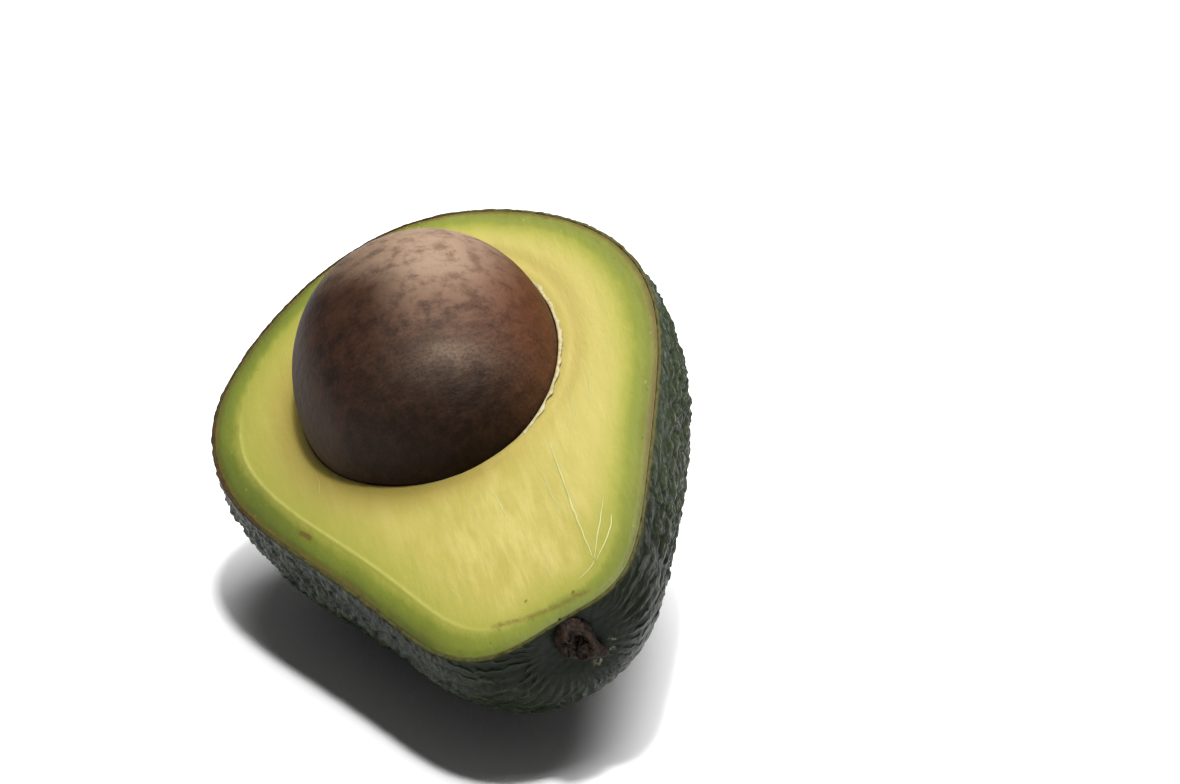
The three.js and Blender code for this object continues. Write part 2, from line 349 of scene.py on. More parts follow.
def bowl_pole(depth):
    """The one point of the bowl that is straight under the start of the rays."""
    return bowl_points(depth, np.zeros(1), np.full(1, 0.5 * np.pi))


def from_stem_line(points):
    """Distance from the line that the stem stub stands on."""
    stem = settings("avocado_stem")
    return np.hypot(points[..., 0] - stem.right, points[..., 2] + stem.below)


def sink_at_stem(points):
    """Moves points towards +Y by a bell e^-(distance/radius)^2 round the stem's line."""
    peel = settings("avocado_peel")
    sink = bell(from_stem_line(points), peel.hollow_radius)
    at_stem_end = 1.0 - smoothstep(-0.040, -0.020, points[..., 1])
    sunk = points.copy()
    sunk[..., 1] += peel.hollow_depth * sink * at_stem_end
    return sunk


def lie():
    """The turn to the way the half rests, and the shift that puts its resting spot at the origin."""
    shape = settings("avocado_fruit")
    turn = np.array(Matrix.Rotation(-shape.roll, 3, "Y") @ Matrix.Rotation(shape.pitch, 3, "X"))
    dip = 0.5 * np.pi * (1.0 - np.arange(1, SEARCH_DIPS + 1) / SEARCH_DIPS)
    around = 2.0 * np.pi * np.arange(SEARCH_TURNS) / SEARCH_TURNS
    smooth = bowl_points(0.0, around[None, :], dip[:, None]).reshape(-1, 3) @ turn.T
    lowest = smooth[smooth[:, 2].argmin()]
    return turn, -lowest - np.array([0.0, 0.0, shape.spot_depth])


def at_rest(points):
    """Points of the cut frame, turned to the way the half rests."""
    turn, shift = lie()
    return points @ turn.T + shift


def seed_points(turn, dip, clearance):
    """Points of the seed: an ellipsoid, a little fatter towards the blossom end, turned in the cut face. Its
    foot swells at lower left by a bell in the turn times the sixth power of the dip's cosine."""
    seed = settings("avocado_seed")
    turn, dip = np.broadcast_arrays(turn, dip)
    along = np.sin(turn) * np.cos(dip)
    beside = np.angle(np.exp(1j * (turn - seed.skirt_turn)))
    skirt = 1.0 + seed.skirt * bell(beside, seed.skirt_width) * np.cos(dip) ** 6
    egg = (1.0 + seed.egg * along) * skirt
    x = (seed.half_width + clearance) * np.cos(turn) * np.cos(dip) * egg
    y = (seed.half_length + clearance) * along * skirt
    z = -(seed.half_height + clearance) * np.sin(dip) * egg
    cos, sin = np.cos(seed.turn), np.sin(seed.turn)
    return np.stack([cos * x - sin * y + seed.right, sin * x + cos * y + seed.along, z + seed.raised], -1)


def mouth_points(turn, clearance):
    """Where the seed's hollow meets the cut face."""
    seed = settings("avocado_seed")
    dip = np.arcsin(seed.raised / (seed.half_height + clearance))
    mouth = seed_points(turn, dip, clearance)
    mouth[..., 2] = 0.0
    return mouth


def beside_bevel(points):
    """1 along the lower left edge of the cut face, where the knife left a bevel, and 0 away from it."""
    x, y = points[..., 0], points[..., 1]
    return smoothstep(-7 * MM, -18 * MM, x + 0.15 * y) * smoothstep(26 * MM, 10 * MM, y)


def along_groove(points, from_seed, width):
    """1 at the middle of the groove to the right of the seed, falling off over a width."""
    x, y = points[..., 0], points[..., 1]
    to_right = smoothstep(4 * MM, 14 * MM, x) * smoothstep(-14 * MM, 0.0, y)
    return to_right * bell(from_seed - settings("avocado_flesh").groove_away, width)


def face_height(points, from_peel, from_seed):
    """Height of the cut face over its plane: a bevel with a raised crease along the lower left edge, slow
    waves left by the knife, a shallow groove to the right of the seed, and edges that are rounded but for
    a lip against the seed at lower left."""
    flesh = settings("avocado_flesh")
    x, y = points[..., 0], points[..., 1]
    slope = np.clip(1.0 - from_peel / flesh.bevel_width, 0.0, 1.0)
    crease = bell(from_peel - flesh.bevel_width, 0.30 * MM)
    height = beside_bevel(points) * (0.10 * MM * crease - flesh.bevel_drop * slope)
    flat = points * np.array([1.0, 1.0, 0.0])
    height += 0.30 * MM * lattice_noise(flat, 24 * MM, 31)
    streaks = flat * np.array([1.0, 0.28, 1.0])
    height += 0.07 * MM * layered_noise(streaks, 2.6 * MM, 37, 3)
    height -= flesh.groove_depth * along_groove(points, from_seed, 1.3 * MM)
    lip = 0.55 * MM * smoothstep(6 * MM, -10 * MM, x + 0.6 * y - 4 * MM) - 0.25 * MM
    height += lip * (1.0 - smoothstep(0.0, 1.6 * MM, from_seed))
    return height - 0.18 * MM * (1.0 - smoothstep(0.0, 1.1 * MM, from_peel))


def rim_height(points):
    """Height of the cut face where it meets the peel."""
    edge = np.zeros(points.shape[:-1])
    return face_height(points, edge, edge + 9 * MM)


def meet_face(points, height):
    """Moves points with the face's edge, the more the nearer their height is to the cut plane."""
    points[..., 2] += smoothstep(-EDGE_REACH, 0.0, height) * rim_height(points)


# Meshes


def new_piece(name, points, quads, tris, attributes, material):
    """A shown piece from arrays of points and faces, riding on the fruit, with its numbers per point."""
    mesh = bpy.data.meshes.new(name)
    mesh.vertices.add(len(points))
    mesh.vertices.foreach_set("co", at_rest(points).ravel())
    corners = np.concatenate([quads.ravel(), tris.ravel()])
    starts = np.concatenate([np.arange(len(quads)) * 4, len(quads) * 4 + np.arange(len(tris)) * 3])
    mesh.loops.add(len(corners))
    mesh.loops.foreach_set("vertex_index", corners)
    mesh.polygons.add(len(starts))
    mesh.polygons.foreach_set("loop_start", starts)
    for key, values in attributes.items():
        layer = mesh.attributes.new(key, "FLOAT", "POINT")
        layer.data.foreach_set("value", np.asarray(values, dtype=np.float32).ravel())
    mesh.update(calc_edges=True)
    mesh.validate()
    mesh.shade_smooth()
    mesh.materials.append(material)
    piece = bpy.data.objects.new(name, mesh)
    bpy.context.scene.collection.objects.link(piece)
    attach(piece, BODY)
    return piece


def poled_faces(rows, around, first_index=0):
    """Faces of a surface closed over a stack of rings, with the first and the last point as its poles."""
    ring = np.arange(around)
    after = (ring + 1) % around
    row = 1 + around * np.arange(rows - 1)[:, None]
    quads = np.stack([row + ring, row + after, row + around + after, row + around + ring], -1).reshape(-1, 4)
    last = 1 + around * (rows - 1)
    pole = last + around
    top = np.stack([np.zeros_like(ring), 1 + after, 1 + ring], -1)
    bottom = np.stack([last + ring, last + after, np.full_like(ring, pole)], -1)
    return quads + first_index, np.concatenate([top, bottom]) + first_index


def poled_piece(name, first, rows, last, attributes, material):
    """A piece closed over rings, with attributes given per ring point and carried on to the poles."""
    around = rows.shape[1]
    points = np.concatenate([first[None], rows.reshape(-1, 3), last[None]])
    quads, tris = poled_faces(rows.shape[0], around)
    carried = {
        key: np.concatenate([values[0, :1], values.ravel(), values[-1, :1]])
        for key, values in attributes.items()
    }
    return new_piece(name, points, quads, tris, carried, material)


def facing_out(points, quads, tris):
    """The faces, all turned round if the volume that the quads enclose is negative."""
    a, b, c, d = (points[quads[:, i]] for i in range(4))
    volume = (a * np.cross(b, c)).sum() + (a * np.cross(c, d)).sum()
    return (quads[:, ::-1], tris[:, ::-1]) if volume < 0.0 else (quads, tris)


def ring_turns(count):
    """Even turns round a ring."""
    return 2.0 * np.pi * np.arange(count) / count


# Materials


class Value:
    """A socket in a finish. Arithmetic on it adds Math nodes."""

    def __init__(self, finish, socket):
        self.finish = finish
        self.socket = socket

    def _math(self, operation, first, second, third=None):
        values = [first, second] if third is None else [first, second, third]
        return self.finish.add("ShaderNodeMath", {"operation": operation}, values)

    def __add__(self, other):
        return self._math("ADD", self, other)

    __radd__ = __add__

    def __sub__(self, other):
        return self._math("SUBTRACT", self, other)

    def __rsub__(self, other):
        return self._math("SUBTRACT", other, self)

    def __mul__(self, other):
        return self._math("MULTIPLY", self, other)

    __rmul__ = __mul__

    def __truediv__(self, other):
        return self._math("DIVIDE", self, other)

    def __rtruediv__(self, other):
        return self._math("DIVIDE", other, self)

    def __pow__(self, other):
        return self._math("POWER", self, other)

    def least(self, other):
        return self._math("MINIMUM", self, other)

    def most(self, other):
        return self._math("MAXIMUM", self, other)

    def step(self, low, high):
        """0 below low, 1 above high and smooth between, or the reverse where low is the larger."""
        turned = low > high
        edges = (high, low) if turned else (low, high)
        out = self.finish.add(
            "ShaderNodeMapRange",
            {"interpolation_type": "SMOOTHSTEP"},
            {"Value": self, "From Min": edges[0], "From Max": edges[1]},
        )
        return 1.0 - out if turned else out


class Finish:
    """A procedural material in the fruit's own cut frame."""

    def __init__(self, name):
        self.material = bpy.data.materials.new(name)
        self.material.use_nodes = True
        self.tree = self.material.node_tree
        self.tree.nodes.clear()
        turn, shift = lie()
        place = self.add("ShaderNodeTexCoord", output="Object")
        self.place = self.add(
            "ShaderNodeMapping",
            {"vector_type": "TEXTURE"},
            {"Vector": place, "Location": tuple(shift), "Rotation": tuple(Matrix(turn.tolist()).to_euler())},
        )

    def add(self, kind, options=None, inputs=(), output=0):
        """A node of any kind: its settings and ramp stops first, then its sockets' values or links."""
        node = self.tree.nodes.new(kind)
        for key, value in (options or {}).items():
            if key == "stops":
                self._set_stops(node.color_ramp, value)
            else:
                setattr(node, key, value)
        pairs = inputs.items() if isinstance(inputs, dict) else enumerate(inputs)
        for key, value in pairs:
            if isinstance(value, Value):
                self.tree.links.new(value.socket, node.inputs[key])
            else:
                node.inputs[key].default_value = value
        return Value(self, node.outputs[output]) if node.outputs else node

    @staticmethod
    def _set_stops(ramp, stops):
        while len(ramp.elements) < len(stops):
            ramp.elements.new(1.0)
        for element, (position, shade) in zip(ramp.elements, stops):
            element.position = position
            element.color = (*shade, 1.0)

    def noise(self, size, detail=3.0, roughness=0.5, stretch=(1.0, 1.0, 1.0), shift=0.0):
        """Noise with features of a size in metres, stretched along the fruit's axes."""
        spread = tuple(1.0 / s for s in stretch)
        moved = {"Vector": self.place, "Scale": spread, "Location": (shift, shift, shift)}
        vector = self.add("ShaderNodeMapping", {}, moved)
        return self.add(
            "ShaderNodeTexNoise",
            {},
            {"Vector": vector, "Scale": 1.0 / size, "Detail": detail, "Roughness": roughness},
        )

    def cells(self, size, feature="F1", stretch=(1.0, 1.0, 1.0)):
        """Distance to the nearest of scattered points, in units of the spacing."""
        spread = tuple(1.0 / s for s in stretch)
        vector = self.add("ShaderNodeMapping", {}, {"Vector": self.place, "Scale": spread})
        return self.add(
            "ShaderNodeTexVoronoi", {"feature": feature}, {"Vector": vector, "Scale": 1.0 / size}, "Distance"
        )

    def attribute(self, name):
        """A number stored on the mesh."""
        return self.add("ShaderNodeAttribute", {"attribute_name": name}, output="Fac")

    def mix(self, share, first, second, blend="MIX"):
        """Goes from the first colour to the second."""
        colours = [c if isinstance(c, Value) else (*c, 1.0) for c in (first, second)]
        options = {"data_type": "RGBA", "blend_type": blend}
        return self.add("ShaderNodeMix", options, {0: share, 6: colours[0], 7: colours[1]}, output=2)

    def axes(self):
        """The place along each of the fruit's own axes, in metres."""
        return [self.add("ShaderNodeSeparateXYZ", {}, [self.place], axis) for axis in ("X", "Y", "Z")]

    def bump(self, height, distance, strength=1.0, under=None):
        """A normal from a height in units of a distance in metres."""
        inputs = {"Height": height, "Distance": distance, "Strength": strength}
        if under is not None:
            inputs["Normal"] = under
        return self.add("ShaderNodeBump", {}, inputs)

    def shade(self, inputs):
        """Ends the material in one shader with these inputs."""
        shader = self.add("ShaderNodeBsdfPrincipled", {}, inputs)
        self.add("ShaderNodeOutputMaterial", {}, [shader])
        return self.material


def peel_finish():
    """Dark green satin peel: pebbles with painted shade in the creases between them and painted highlight on
    their tops, paler on the right near the cut with painted light, fine folds that fan out from the stem with
    painted highlight on their crests, a little pale crust at the stem's root, and a cut edge that is brown,
    olive or tan."""
    look = settings("avocado_peel")
    stem = settings("avocado_stem")
    finish = Finish("pebbled_peel")
    x, y, z = finish.axes()
    tops = finish.attribute("pebble")
    cut = finish.attribute("cut")
    near_stem = finish.attribute("near_stem")
    mottle = finish.noise(3.2 * MM, 4.0, 0.6)
    broad = finish.noise(16 * MM, 2.0, 0.5, shift=3.0)
    flecks = finish.noise(0.9 * MM, 2.0, 0.6, shift=7.0)
    # Paler tops on the pebbles and ridges and darker creases between them: random tone, with painted
    # highlight on the tops and painted shade in the creases.
    pale = tops.step(0.25, 0.95) * (0.35 + mottle.step(0.35, 0.7) * 0.4 + flecks.step(0.45, 0.7) * 0.4)
    pale = pale * (0.45 + 0.55 * broad.step(0.2, 0.75)) * (1.0 - near_stem * 0.8)
    # Painted light: the peel is paler on the right side, near the cut.
    pale = pale + (x + y * 0.15).step(12 * MM, 22 * MM) * z.step(-26 * MM, -4 * MM) * (0.35 + flecks * 0.5)
    body = finish.mix(pale.least(1.0), look.dark, look.pale)
    beside = x - stem.right
    above = z + stem.below
    away = (beside * beside + above * above) ** 0.5
    angle = finish.add("ShaderNodeMath", {"operation": "ARCTAN2"}, [above, beside])
    swirl = finish.noise(8 * MM, 3.0, 0.55, shift=15.0)
    wave = finish.add("ShaderNodeMath", {"operation": "SINE"}, [angle * look.fold_count + swirl * 16.0])
    breaks = finish.noise(3.5 * MM, 2.0, 0.5, shift=17.0).step(0.32, 0.55)
    folded = y.step(-14 * MM, -32 * MM) * away.step(4.5 * MM, 10 * MM) * away.step(28 * MM, 16 * MM) * breaks
    crest = (1.0 - wave * wave) ** 3.0 * folded * (1.0 - cut)
    # Painted highlight: the crests of the fine folds are painted paler.
    body = finish.mix(crest * 0.30, body, (0.055, 0.068, 0.045))
    lower_right = (beside * 0.57 - above * 0.82) / away.most(1 * MM)
    crust = lower_right.step(0.84, 0.98) * away.step(4.4 * MM, 5.2 * MM) * away.step(6.6 * MM, 5.6 * MM)
    crust = crust * y.step(-38 * MM, -44 * MM) * finish.noise(1.1 * MM, 3.0, 0.7, shift=19.0).step(0.5, 0.62)
    body = finish.mix(crust * 0.8, body, (0.20, 0.185, 0.115))
    right = x.step(4 * MM, 20 * MM)
    grain = finish.noise(1.4 * MM, 3.0, 0.6, shift=11.0)
    upper_left = (y - x * 0.4).step(4 * MM, 16 * MM)
    brown = finish.mix(grain.step(0.48, 0.7), look.rim_brown, (0.060, 0.029, 0.012))
    olive = finish.mix(grain.step(0.45, 0.7), look.rim_olive, (0.030, 0.022, 0.008))
    edge = finish.mix(upper_left * (0.35 + 0.65 * grain.step(0.4, 0.55)), olive, brown)
    edge = finish.mix(right * (0.6 + 0.4 * grain.step(0.3, 0.5)), edge, look.rim_tan)
    base = finish.mix(cut, body, edge)
    fine = finish.noise(0.6 * MM, 3.0, 0.6, shift=1.0)
    grains = finish.cells(1.05 * MM, "SMOOTH_F1")
    lumps = fine * 0.45 - grains * 1.1
    normal = finish.bump(lumps * (1.0 - near_stem * 0.7), 0.42 * MM, 1.0)
    normal = finish.bump(crest, 0.36 * MM, 1.0, under=normal)
    roughness = 0.34 + flecks * 0.20 + cut * 0.25
    return finish.shade({
        "Base Color": base,
        "Roughness": roughness,
        "Normal": normal,
        "Specular IOR Level": 0.08,
    })


def flesh_finish():
    """Cut flesh: green against the peel, then yellow-green and pale yellow, ochre at the seed, with soft
    lengthwise streaks, pores and a few stains. The ochre is partly painted shadow of the seed at its left,
    the green band at the left end has painted shade, and the crease along the bevel has a painted highlight."""
    look = settings("avocado_flesh")
    finish = Finish("cut_flesh")
    x, y, _ = finish.axes()
    from_peel = finish.attribute("from_peel")
    from_seed = finish.attribute("from_seed")
    stain = finish.attribute("stain")
    wander = finish.noise(7 * MM, 3.0, 0.55, stretch=(1.0, 2.0, 1.0))
    fray = finish.noise(1.1 * MM, 4.0, 0.65, stretch=(1.0, 2.5, 1.0), shift=2.0)
    depth = from_peel + (wander - 0.5) * (1.9 * MM) + (fray - 0.5) * (1.3 * MM)
    share = depth / (13 * MM)
    lower_bands = [
        (0.0, look.edge_green),
        (0.08, look.deep_green),
        (0.19, (0.130, 0.150, 0.016)),
        (0.27, look.yellow_green),
        (0.44, (0.262, 0.248, 0.044)),
        (0.76, look.pale_yellow),
    ]
    upper_bands = [
        (0.0, (0.085, 0.082, 0.014)),
        (0.07, (0.135, 0.142, 0.021)),
        (0.155, look.soft_green),
        (0.24, (0.182, 0.202, 0.028)),
        (0.32, (0.245, 0.248, 0.042)),
        (0.46, (0.330, 0.304, 0.068)),
        (0.66, (0.385, 0.332, 0.096)),
    ]
    lower = finish.add("ShaderNodeValToRGB", {"stops": lower_bands}, [share])
    at_top = y.step(8 * MM, 30 * MM)
    upper = finish.add("ShaderNodeValToRGB", {"stops": upper_bands}, [share * (1.07 + at_top * 0.30)])
    side = (x + y * 0.35).step(-7 * MM, 14 * MM)
    bands = finish.mix(side, lower, upper)
    tip = y.step(-36 * MM, -44 * MM) * share.step(0.30, 0.20)
    bands = finish.mix(tip * 0.40, bands, (0.175, 0.195, 0.026))
    # Painted shade: the green band at the left end of the cut face is darkened.
    shade = (y + x * 0.3).step(-24 * MM, -6 * MM) * y.step(24 * MM, 8 * MM)
    shade = shade * (1.0 - side) * share.step(0.34, 0.2)
    bands = finish.mix(shade * 0.45, bands, (0.048, 0.066, 0.011))
    streak = finish.noise(1.3 * MM, 3.0, 0.6, stretch=(1.0, 7.0, 1.0), shift=5.0)
    clouds = finish.noise(6 * MM, 3.0, 0.55, stretch=(1.0, 1.6, 1.0), shift=9.0)
    inner = depth.step(4 * MM, 11 * MM)
    creamy = inner * (0.15 + streak.step(0.42, 0.64) * 0.50 + clouds.step(0.4, 0.66) * 0.45)
    creamy = creamy * (1.0 - (x + y * 0.15).step(-3 * MM, -19 * MM) * 0.65)
    toned = finish.mix(creamy.least(1.0), bands, look.cream)
    # Ochre against the seed: partly the flesh's own colour, and stronger at the seed's left as painted shadow
    # of the seed.
    left_of_seed = (x + y * 0.5).step(12 * MM, -8 * MM)
    warm = from_seed.step(6.5 * MM, 0.0) * (0.25 + left_of_seed * 0.45)
    toned = finish.mix(warm, toned, look.ochre)
    groove = finish.attribute("groove")
    toned = finish.mix(groove * 0.3, toned, (0.31, 0.235, 0.055))
    pores = finish.cells(1.7 * MM, stretch=(1.0, 1.6, 1.0))
    dots = pores.step(0.16, 0.07) * finish.noise(9 * MM, 1.0, shift=4.0).step(0.5, 0.62)
    toned = finish.mix(dots * 0.28, toned, look.strand)
    specks = finish.cells(2.6 * MM, stretch=(1.0, 1.3, 1.0)).step(0.1, 0.05)
    rim_side = from_peel.step(7 * MM, 1 * MM)
    toned = finish.mix(specks * rim_side * 0.5, toned, (0.07, 0.07, 0.010))
    # Painted highlight: a pale line along the crease at the inner edge of the bevel.
    crease = finish.attribute("crease")
    toned = finish.mix(crease * (0.25 + fray * 0.6), toned, (0.34, 0.33, 0.09))
    blot = finish.noise(0.8 * MM, 4.0, 0.7, shift=13.0)
    stained = (stain * (0.35 + 1.2 * blot)).step(0.35, 0.95)
    toned = finish.mix(stained * 0.85, toned, look.stain)
    # A dried brown film along the rim, away from the stem end: the flesh's own colour.
    film_and_painted_sheen = from_peel.step(0.9 * MM, 0.1 * MM) * blot.step(0.35, 0.6) * y.step(-34 * MM, -20 * MM)
    toned = finish.mix(film_and_painted_sheen * 0.75, toned, (0.13, 0.075, 0.018))
    pulp = finish.noise(0.55 * MM, 3.0, 0.65, stretch=(1.0, 2.2, 1.0), shift=6.0)
    normal = finish.bump(pulp * 0.6 + streak * 0.8 + clouds * 0.5, 0.16 * MM, 0.55)
    roughness = 0.44 + pulp * 0.16 - from_seed.step(3 * MM, 0.0) * 0.06
    return finish.shade({
        "Base Color": toned,
        "Roughness": roughness,
        "Normal": normal,
        "Specular IOR Level": 0.22,
        "Subsurface Weight": 0.45,
        "Subsurface Radius": (0.9, 0.8, 0.35),
        "Subsurface Scale": 0.0026,
    })


def seed_finish():
    """Smooth seed: fine dark and red-brown grain with faint cross wrinkles, a painted sheen and a painted
    glint on top, a painted reflection along its left side, and painted shade towards the front and left.
    """
    look = settings("avocado_seed")
    finish = Finish("mottled_seed")
    x, y, z = finish.axes()
    across = (x - look.right) / look.half_width
    along = (y - look.along) / look.half_length
    grain = finish.noise(0.45 * MM, 4.0, 0.7)
    mottle = finish.noise(2.4 * MM, 6.0, 0.68, shift=3.0)
    broad = finish.noise(12 * MM, 3.0, 0.5, shift=8.0)
    wrinkle = finish.noise(1.6 * MM, 3.0, 0.55, stretch=(2.6, 1.0, 1.0), shift=5.0)
    # Painted shade: the tone is darker towards the front end and the left side of the seed.
    high = along.step(-0.95, 0.1) * across.step(-0.9, 0.1)
    tone = (mottle * 0.80 + grain * 0.22 + high * 0.16).step(0.41, 0.74)
    body = finish.mix(tone, look.dark, look.brown)
    # Painted shade: the front of the seed is darkened further.
    low = (along + (mottle - 0.5) * 0.3).step(-0.35, -0.75)
    body = finish.mix(low * 0.40, body, look.dark)
    to_right = (across + along * 0.35 + (broad - 0.5) * 0.6).step(-0.05, 0.85)
    worn = to_right * (0.45 + mottle.step(0.35, 0.62) * 0.4 + grain.step(0.4, 0.62) * 0.2)
    body = finish.mix(worn.least(1.0), body, look.red)
    # Painted sheen on top of the seed: a pale band that leans across it and fades towards its left side and,
    # through the mask dry, towards the front; warm is the sheen's browner colour at the front end.
    off = across - along * 0.22 - 0.38 + (broad - 0.5) * 0.2
    sheen_left_falloff = (off / (0.55 + along.most(0.0) * 1.5)).step(-1.0, 0.0)
    dry = (along + (mottle - 0.5) * 0.34 + (wrinkle - 0.5) * 0.30).step(-0.56, -0.22)
    film_and_painted_sheen = dry * sheen_left_falloff * off.step(0.60, 0.12) * (0.48 + mottle.step(0.32, 0.58) * 0.52)
    film_and_painted_sheen = film_and_painted_sheen * z.step(2 * MM, 9 * MM)
    warm = finish.mix(along.step(0.05, -0.35), look.film_and_painted_sheen, (0.185, 0.105, 0.068))
    body = finish.mix(film_and_painted_sheen * (1.0 - along.step(0.20, -0.35) * 0.35), body, warm)
    # Painted glint: a small pale spot in the sheen's colour low on the seed's top, where a highlight falls,
    # broken up by the grain.
    spot_x = (across - 0.27) * 5.0
    spot_y = (along + 0.60) * 14.0 + (mottle - 0.5) * 3.0
    spot = (1.0 / (1.0 + spot_x * spot_x + spot_y * spot_y)) * (0.5 + 0.5 * grain.step(0.3, 0.6))
    body = finish.mix(spot * 0.50, body, look.film_and_painted_sheen)
    # Painted reflection: a greyish strip along the seed's left side.
    painted_reflection_left = across.step(-0.60, -0.80) * along.step(-0.80, -0.45) * along.step(0.65, 0.25)
    body = finish.mix(painted_reflection_left * 0.55, body, (0.055, 0.034, 0.025))
    pits = finish.cells(0.9 * MM).step(0.20, 0.05) * grain.step(0.45, 0.6)
    body = finish.mix(pits * 0.10, body, look.dark)
    normal = finish.bump(grain * 0.40 + mottle * 0.9 + wrinkle * 1.7, 0.20 * MM, 0.8)
    roughness = 0.50 + mottle * 0.14
    return finish.shade({
        "Base Color": body,
        "Roughness": roughness,
        "Normal": normal,
        "Specular IOR Level": 0.08,
    })


def coat_finish():
    """Papery seed coat, off-white with tan shreds."""
    look = settings("avocado_seed")
    finish = Finish("papery_coat")
    shred = finish.noise(0.8 * MM, 4.0, 0.65)
    base = finish.mix(shred.step(0.42, 0.66), look.coat, (0.26, 0.21, 0.085))
    normal = finish.bump(shred, 0.12 * MM, 0.7)
    return finish.shade({
        "Base Color": base,
        "Roughness": 0.5 + shred * 0.2,
        "Normal": normal,
        "Subsurface Weight": 0.2,
        "Subsurface Scale": 0.001,
    })


def strand_finish():
    """Moist pale strands, a little greener in places."""
    look = settings("avocado_flesh")
    finish = Finish("pale_strand")
    tone = finish.noise(5 * MM, 3.0, 0.6)
    base = finish.mix(tone.step(0.35, 0.7), look.strand, (0.45, 0.41, 0.15))
    return finish.shade({
        "Base Color": base,
        "Roughness": 0.36 + tone * 0.12,
        "Normal": finish.bump(finish.noise(0.5 * MM, 2.0), 0.05 * MM, 0.5),
        "Subsurface Weight": 0.25,
        "Subsurface Scale": 0.001,
    })


def stem_finish():
    """Dry bark: dark purple-brown with worn paler fibres and nearly black clefts."""
    look = settings("avocado_stem")
    finish = Finish("dry_stem")
    cleft = finish.attribute("cleft")
    fibre = finish.noise(0.7 * MM, 4.0, 0.7)
    patch = finish.noise(1.8 * MM, 3.0, 0.6, shift=4.0)
    base = finish.mix((patch * 0.6 + fibre * 0.6).step(0.50, 0.80), look.bark, look.worn)
    base = finish.mix(cleft, base, (0.008, 0.005, 0.004))
    normal = finish.bump(fibre + patch * 0.5, 0.25 * MM, 0.9)
    return finish.shade({
        "Base Color": base,
        "Roughness": 0.62 + fibre * 0.2,
        "Normal": normal,
        "Specular IOR Level": 0.10,
    })


def floor_finish():
    """Plain pale floor with a trace of grain."""
    look = settings("avocado_stage")
    finish = Finish("pale_floor")
    grain = finish.noise(0.05, 2.0)
    base = finish.mix(grain * 0.04, look.floor, (0.80, 0.80, 0.80))
    return finish.shade({"Base Color": base, "Roughness": 0.75, "Specular IOR Level": 0.2})


# Pieces


def pebble_relief(points):
    """Height of the peel's relief and how pebbled it is: domes between the creases of jittered cells with
    finer ones on them, drawn out along the neck, on broad swells, giving way to ridges at the stem."""
    look = settings("avocado_peel")
    stem = settings("avocado_stem")
    drawn_out = 1.0 - 0.38 * smoothstep(5 * MM, -32 * MM, points[..., 1])
    bent = points + 1.0 * MM * np.stack([lattice_noise(points, 4.5 * MM, 40 + i) for i in range(3)], -1)
    flow = bent * np.stack([np.ones_like(drawn_out), drawn_out, np.ones_like(drawn_out)], -1)
    large = smoothstep(0.0, 0.42, cell_creases(flow, look.pebble_pitch, 3))
    small = smoothstep(0.0, 0.55, cell_creases(flow, 0.5 * look.pebble_pitch, 8))
    pebbles = 0.62 * large + 0.38 * small
    swells = layered_noise(flow, 6 * MM, 17, 3)
    away = np.linalg.norm(points - np.array([stem.right, -0.045, -stem.below]), axis=-1)
    pebbled = smoothstep(10 * MM, 26 * MM, away)
    angle = np.arctan2(points[..., 2] + stem.below, points[..., 0] - stem.right)
    warp = 1.5 * layered_noise(points, 7 * MM, 23, 3)
    ridge = np.abs(np.cos(0.5 * look.ridge_count * angle + warp)) ** 0.7
    banded = smoothstep(3.4 * MM, 8 * MM, away) * (1.0 - smoothstep(22 * MM, 44 * MM, away))
    broken = 0.55 + 0.55 * lattice_noise(points, 4 * MM, 29)
    height = look.pebble_height * (pebbles - 0.6) * pebbled
    height += look.swell_height * swells * (0.3 + 0.7 * pebbled)
    height += look.ridge_height * banded * broken * (ridge - 0.6)
    at_rim = smoothstep(-0.3 * MM, -4.5 * MM, points[..., 2])
    height = np.maximum(height * (0.3 + 0.7 * at_rim), -look.deepest_crease)
    # Tops of the pebbles and ridges: the finish paints highlight on them and shade between them.
    tops = pebbles * pebbled + (1.0 - pebbled) * (0.25 + 0.6 * ridge * banded)
    return height, tops, 1.0 - pebbled


def press_resting_spot(points, over=0.0):
    """Lifts what would be under the floor, or under a height over it, up to there along the way up."""
    turn, shift = lie()
    under = np.minimum(points @ turn[2] + shift[2] - over, 0.0)
    return points - under[..., None] * turn[2]


